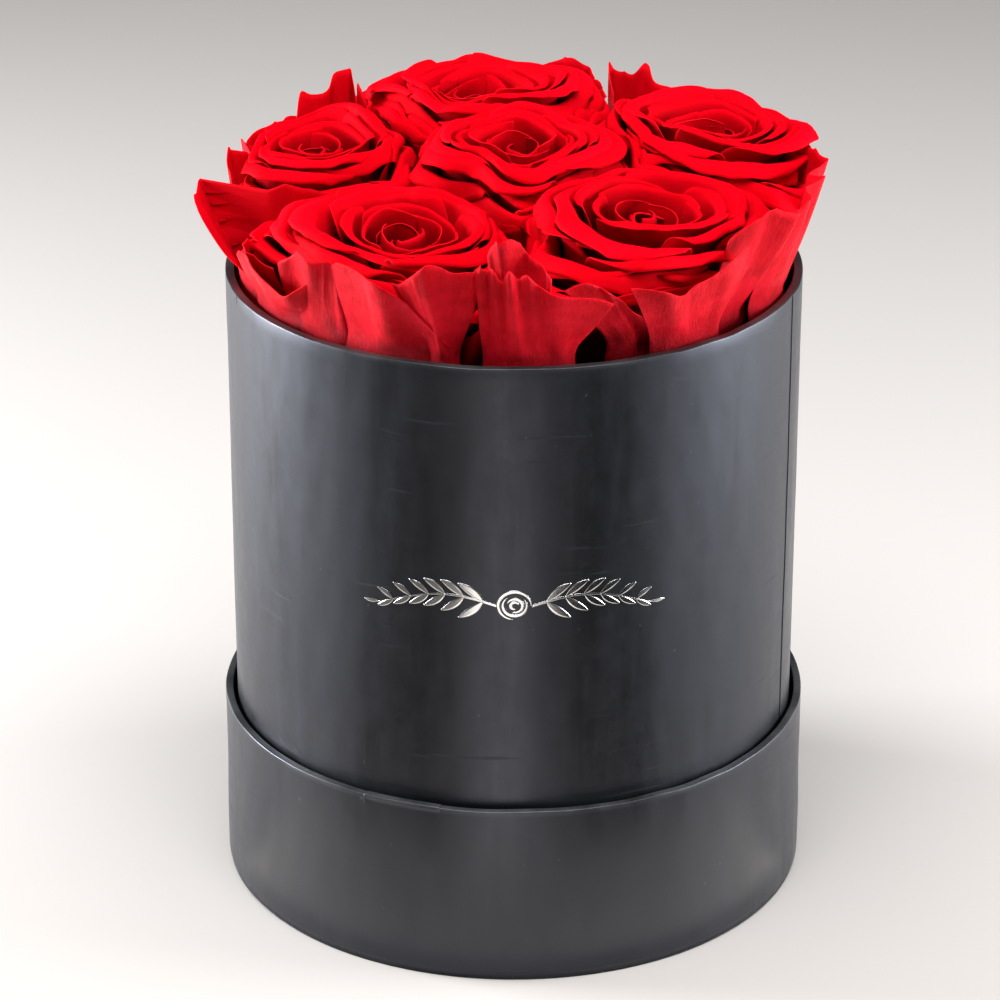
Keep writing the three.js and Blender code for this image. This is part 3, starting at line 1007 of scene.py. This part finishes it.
def lid_wrap_shape(bearing, radius, height):
    """The lid's side wrap: seam, unevenness, marks of tabs, and the double paper at the rim."""
    outside = radius > LID_WALL
    tabs = low_high(TABS["lid"])[1][2]
    out = unevenness(radius, bearing, height) + tab_marks(bearing, height, 0, tabs)
    out = out + seam_shape(bearing, 180 - SEAM_BEARING, SEAM_STEP, SEAM_LAP)
    out = out + rim_tick(bearing, height, LID_RIM, RIM_LAP[0])
    start, end = RIM_LAP
    lap = smooth(bearing, start, start + 0.15) * (1 - smooth(bearing, end - 0.3, end))
    out = out + 0.12 * lap * smooth(height, LID_RIM - 1.3, LID_RIM - 0.5)
    raised = 0.22 * lap * smooth(height, LID_RIM - 1.0, LID_RIM)
    return radius + out * outside, height + raised + rim_wave(radius, bearing, height, LID_RIM)


def side_wrap(prefix, body, wall_outer, inside, rim, angles, shape, material):
    """The cover paper round a wall, folded in over its rim."""
    profile = wrap_profile(prefix, wall_outer, inside, rim)
    piece = turned(f"{prefix}_wrap_paper", profile, angles, [material], shape)
    finish_piece(piece, body, f"{prefix}_side_wrap")


def ring_profile(low, high, rows):
    """The profile of a thin upright ring of paper, up its outside and down its inside."""
    heights = np.linspace(low[2], high[2], rows)
    return [(high[0], h) for h in heights] + [(high[0] - PAPER, h) for h in heights[::-1]]


def smooth_ring(node, body, slot):
    """A smooth ring in place of a faceted one, with its sizes."""
    profile = ring_profile(*low_high(node), 24)
    piece = turned(f"{node}_paper", profile, round_angles(), [SLOT_MATERIALS[slot]])
    finish_piece(piece, body, node)


def smooth_sheet(node, body, slot):
    """A smooth round sheet in place of a faceted one, with a slightly rounded edge."""
    low, high = low_high(node)
    radius = high[0]
    rings = np.array(SHEET_RINGS) * radius
    profile = [(ring, low[2]) for ring in rings]
    profile += [(radius - SHEET_EDGE, low[2]), (radius, low[2] + SHEET_EDGE)]
    profile += [(radius, high[2] - SHEET_EDGE), (radius - SHEET_EDGE, high[2])]
    profile += [(ring, high[2]) for ring in rings[::-1]]
    piece = solid_of_turning(f"{node}_paper", profile, [SLOT_MATERIALS[slot]], SHEET_SIDES)
    finish_piece(piece, body, node)


def cut_tabs(node, body):
    """The ring of tabs of a round cover sheet: its foot shows below the side wrap, with fine cuts."""
    low, high = low_high(node)

    def shape(bearing, radius, height):
        """Thin grooves on the outside, at the cuts."""
        cut = smooth(cut_nearness(bearing), 0.90, 1.0)
        return radius - 2 * TAB_CUT * cut * (radius > high[0] - 0.5 * PAPER), height

    angles = np.linspace(0, 2 * math.pi, TAB_COUNT * 16, endpoint=False)
    piece = turned(f"{node}_paper", ring_profile(low, high, 8), angles, [PAPER_BLACK], shape)
    finish_piece(piece, body, node)


BOX_ANGLES = round_angles(SEAM_BEARING, BOX_TICK)
LID_ANGLES = round_angles(180 - SEAM_BEARING, *RIM_LAP)
side_wrap("box", "flower_box", BOX_WALL, BOX_INSIDE, BOX_RIM, BOX_ANGLES, box_wrap_shape, PAPER_BLACK)
side_wrap("lid", "lid", LID_WALL, LID_INSIDE, LID_RIM, LID_ANGLES, lid_wrap_shape, LID_BLACK)
for ring_node, ring_body in (("box_lining", "flower_box"), ("lid_lining", "lid")):
    smooth_ring(ring_node, ring_body, "black_lining_paper")
cut_tabs(TABS["box"], "flower_box")
cut_tabs(TABS["lid"], "lid")
for sheet_node, sheet_body, sheet_slot in (
    ("box_base_sheet", "flower_box", "black_wrap_paper"),
    ("box_floor_sheet", "flower_box", "black_lining_paper"),
    ("lid_top_sheet", "lid", "black_wrap_paper"),
    ("lid_inner_sheet", "lid", "black_lining_paper"),
):
    smooth_sheet(sheet_node, sheet_body, sheet_slot)


# ---------- the foil sprig on the front ----------

FOIL_HEIGHT = 113.0
FOIL_THICKNESS = 0.06
FOIL_PROUD = 0.05


def on_box(flat):
    """Bends flat points (across, up) from the middle of the front onto the side of the box."""
    angle = flat[..., 0] / BOX_RADIUS
    height = flat[..., 1] + FOIL_HEIGHT
    radius = BOX_RADIUS + FOIL_PROUD + unevenness(BOX_RADIUS, np.degrees(angle), height)
    return stacked(radius * np.sin(angle), -radius * np.cos(angle), height)


def foil_stroke(line, widths, across=5):
    """A thin stroke along a flat line of points, as wide at each point as widths says."""
    line = np.asarray(line, float)
    direction = np.gradient(line, axis=0)
    direction /= np.linalg.norm(direction, axis=1)[:, None]
    side = np.column_stack([-direction[:, 1], direction[:, 0]])
    shares = np.linspace(-0.5, 0.5, across)[:, None, None]
    return on_box(line[None] + shares * side[None] * np.asarray(widths, float)[None, :, None])


def leaf(root, angle, length, width, bend=0.25):
    """A leaf-shaped stroke from its root, with a bent midline."""
    t = np.linspace(0, 1, 22)
    along = t * length
    off = bend * length * t * (1 - t)
    cos, sin = math.cos(angle), math.sin(angle)
    line = np.column_stack([root[0] + along * cos - off * sin, root[1] + along * sin + off * cos])
    return foil_stroke(line, width * np.sin(math.pi * np.clip(t, 0.02, 0.985)) ** 0.8 + 0.04)


def sprig_side(side):
    """One half of the sprig: a curved stem with leaves on both sides that get smaller outwards."""
    t = np.linspace(0, 1, 60)
    stem = np.column_stack([side * (4.5 + 33.5 * t), 3.2 * np.sin(math.pi * t * 1.15) - 1.2 * t])
    strokes = [foil_stroke(stem, 0.62 * (1 - 0.75 * t) + 0.12)]
    for place in np.linspace(0.12, 0.88, 6):
        root = stem[int(place * 59)]
        size = 8.8 * (1 - 0.45 * place)
        for turn in (38, -38):
            slope = math.radians(turn * (1 - 0.25 * place))
            slope = slope if side > 0 else math.pi - slope
            bend = (0.20 if turn > 0 else -0.20) * side
            strokes.append(leaf(root, slope, size, 0.27 * size, bend))
    tip = stem[-1]
    strokes.append(leaf(tip, 0 if side > 0 else math.pi, 4.2, 1.0, 0.0))
    return strokes


def bud_strokes():
    """The small rosebud in the middle: nested crescents."""
    strokes = []
    t = np.linspace(0, 1, 40)
    for size, turn in ((4.4, 0.0), (3.2, 2.3), (2.1, 4.4), (1.1, 6.6)):
        angle = turn + t * 4.6
        line = np.column_stack([size * np.cos(angle), 0.2 + size * 0.92 * np.sin(angle)])
        strokes.append(foil_stroke(line, 0.85 * np.sin(math.pi * np.clip(t, 0.03, 0.97)) ** 0.7 + 0.10))
    return strokes


def add_foil_sprig():
    """The sprig and its bud as one piece of foil."""
    strokes = sprig_side(1) + sprig_side(-1) + bud_strokes()
    piece = petal_object("foil_sprig", strokes, [FOIL], (FOIL_THICKNESS, FOIL_THICKNESS))
    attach(piece, "flower_box")


add_foil_sprig()


# ---------- the roses ----------

def build_rose(name):
    """The head of a rose: its inner, outer and guard petals."""
    inner, outer = rose_petals(name)
    faces = [PETAL_BACK, PETAL_FRONT, PETAL_EDGE_HIGHLIGHT]
    guard_faces = [GUARD_BACK, GUARD_FRONT, PETAL_EDGE_HIGHLIGHT]
    for part, petals, slot, materials in (
        ("inner_petals", inner, "inner_petals", faces),
        ("outer_petals", outer, "outer_petals", faces),
        ("guard_petals", guard_petals(name), "outer_petals", guard_faces),
    ):
        if petals:
            piece = petal_object(f"{name}_{part}_real", petals, materials)
            finish_piece(piece, name, f"{name}_{slot}")


# The hip under a rose: heights above its foot, and radii.
HIP = ((0.0, 2.5), (0.6, 3.6), (1.6, 4.3), (3.2, 4.5), (5.0, 4.2), (6.6, 3.4), (7.6, 2.4))
SEPALS = 5
STEM_SIDES = 40


def sepal(centre, foot, turn, random):
    """The grid of points of one sepal, a narrow leaf that bends down from under the petals."""
    u = np.linspace(-1, 1, 13)[:, None]
    v = np.linspace(0, 1, 22)[None, :]
    out = 3.4 + 10.5 * v
    half_width = 2.7 * np.sin(math.pi * np.clip(0.22 + 0.77 * v, 0, 0.99)) ** 1.2 + 0.12
    height = foot + 1.4 - 0.6 * v - random.uniform(5, 7.5) * v ** 2.4 + 0.35 * u ** 2
    across = u * half_width
    radial = np.array([math.cos(turn), math.sin(turn)])
    side = np.array([-radial[1], radial[0]])
    plan = np.asarray(centre) + out[..., None] * radial + across[..., None] * side
    return np.concatenate([plan, (height + 0 * u)[..., None]], axis=-1)


def build_foot(name):
    """The stem of a rose, and its calyx: a hip with sepals."""
    facts = FACTS[name]
    random = np.random.RandomState(STYLES[name]["seed"] + 500)
    low, high = low_high(f"{name}_stem")
    radius = (high[0] - low[0]) / 2
    heights = np.linspace(low[2], high[2], 40)
    radii = radius * (0.97 + 0.03 * np.sin(heights * 0.21 + random.uniform(0, 6)))
    radii[0] = radius - 0.4
    rod = list(zip(radii, heights))
    stem = solid_of_turning(f"{name}_stem_real", rod, [STEM_GREEN], STEM_SIDES, facts["centre"])
    bulge = [(radius, facts["foot"] + height) for height, radius in HIP]
    hip = solid_of_turning(f"{name}_hip", bulge, [CALYX_GREEN], STEM_SIDES, facts["centre"])
    start = random.uniform(0, 6.28)
    turns = [start + 2 * math.pi * k / SEPALS for k in range(SEPALS)]
    leaves = [sepal(facts["centre"], facts["foot"], turn, random) for turn in turns]
    sepals = petal_object(f"{name}_sepals", leaves, [CALYX_GREEN], (0.5, 0.25))
    for piece, node, slot in (
        (stem, "stem", "stem_green"), (hip, "calyx", "calyx_green"), (sepals, "calyx", "calyx_green")
    ):
        finish_piece(piece, name, f"{name}_{node}")


for rose in ROSES:
    build_rose(rose)
    build_foot(rose)


# ---------- materials of the CAD nodes that stay ----------

for part in frame["record"]["subparts"]:
    node = frame["nodes"][part["node"]]
    if not node.hide_render and part["material_slot"] in SLOT_MATERIALS:
        node.data.materials.clear()
        node.data.materials.append(SLOT_MATERIALS[part["material_slot"]])


# ---------- floor, light and camera ----------

FLOOR_SIZE = 12
CARD_HEIGHT = 0.002
CARD_STEPS = 13
CARD_GLOW = (1.0, 0.93, 0.82, 1)


def add_floor():
    """A plain pale floor."""
    bpy.ops.mesh.primitive_plane_add(size=FLOOR_SIZE, location=(0, 0, 0))
    floor = bpy.context.object
    floor.name = "floor"
    colour = (0.43, 0.405, 0.385, 1)
    material = new_material("floor", Roughness=0.8, Base_Color=colour, Specular_IOR_Level=0.0)[0]
    floor.data.materials.append(material)


def add_area_light(name, location, target, size, power, colour=(1, 1, 1)):
    """A rectangular light that faces target and isn't seen itself."""
    data = bpy.data.lights.new(name, "AREA")
    data.shape = "RECTANGLE"
    data.size, data.size_y = size
    data.energy = power
    data.color = colour
    light = linked(name, data)
    light.location = location
    light.rotation_euler = (Vector(target) - Vector(location)).to_track_quat("-Z", "Y").to_euler()
    light.visible_camera = False


def ring_place(bearing, distance, height):
    """A place round the box, from a bearing in degrees and a distance and height in metres."""
    angle = math.radians(bearing)
    return (distance * math.sin(angle), -distance * math.cos(angle), height)


def add_card(name, bearing_low, bearing_high, near, far, glow):
    """A card on the floor in front that only the paper mirrors: black, or glowing a warm white."""
    bearings = np.linspace(bearing_low, bearing_high, CARD_STEPS)
    points = [ring_place(b, distance, CARD_HEIGHT) for distance in (near, far) for b in bearings]
    mesh = bpy.data.meshes.new(name)
    mesh.from_pydata(points, [], grid_faces(2, len(bearings)).tolist())
    material = new_material(name, Base_Color=(0, 0, 0, 1), Specular_IOR_Level=0.0,
                            Emission_Color=CARD_GLOW, Emission_Strength=glow)[0]
    mesh.materials.append(material)
    card = linked(name, mesh)
    card.visible_camera = False
    card.visible_diffuse = False
    card.visible_shadow = False


# The view, as fitted to the outlines in the photo.
CAMERA_PITCH = math.radians(24.07)
CAMERA_DISTANCE = 1.1338
CAMERA_TARGET = Vector((-0.0039, 0.0, 0.1083))
FOCAL_LENGTH = 143.2
SENSOR_WIDTH = 36


def add_camera():
    """A long lens from a little above."""
    data = bpy.data.cameras.new("camera")
    data.lens = FOCAL_LENGTH
    data.sensor_width = SENSOR_WIDTH
    camera = linked("camera", data)
    away = Vector((0, -math.cos(CAMERA_PITCH), math.sin(CAMERA_PITCH)))
    camera.location = CAMERA_TARGET + away * CAMERA_DISTANCE
    camera.rotation_euler = (-away).to_track_quat("-Z", "Y").to_euler()
    bpy.context.scene.camera = camera


WORLD_COLOUR = (0.90, 0.90, 0.92, 1)
WORLD_STRENGTH = 0.12


def add_world():
    """A faint even light from everywhere."""
    world = bpy.data.worlds.new("studio")
    world.use_nodes = True
    background = world.node_tree.nodes["Background"]
    background.inputs["Color"].default_value = WORLD_COLOUR
    background.inputs["Strength"].default_value = WORLD_STRENGTH
    bpy.context.scene.world = world


COOL = (0.93, 0.96, 1.0)
SIDE_DISTANCE = 0.95
SIDE_HEIGHT = 0.27
add_floor()
add_world()
add_card("left_flag", -56, -17, 0.15, 1.5, 0.16)
add_card("front_card", -12, 3, 0.15, 0.9, 2.7)
add_card("foot_card", -75, 75, 0.092, 0.148, 1.6)
add_card("right_flag", 12, 51, 0.15, 1.5, 0.0)
for light_name, light_bearing, light_size, light_power in (
    ("left", -101, (0.42, 0.5), 30),
    ("right", 88, (0.58, 0.5), 20),
):
    light_place = ring_place(light_bearing, SIDE_DISTANCE, SIDE_HEIGHT)
    add_area_light(light_name, light_place, (0, 0, SIDE_HEIGHT), light_size, light_power, COOL)
add_area_light("top", (0, -0.3, 1.2), (0, 0, 0.1), (0.8, 0.8), 23)
add_camera()
bpy.context.scene.view_settings.view_transform = "Standard"
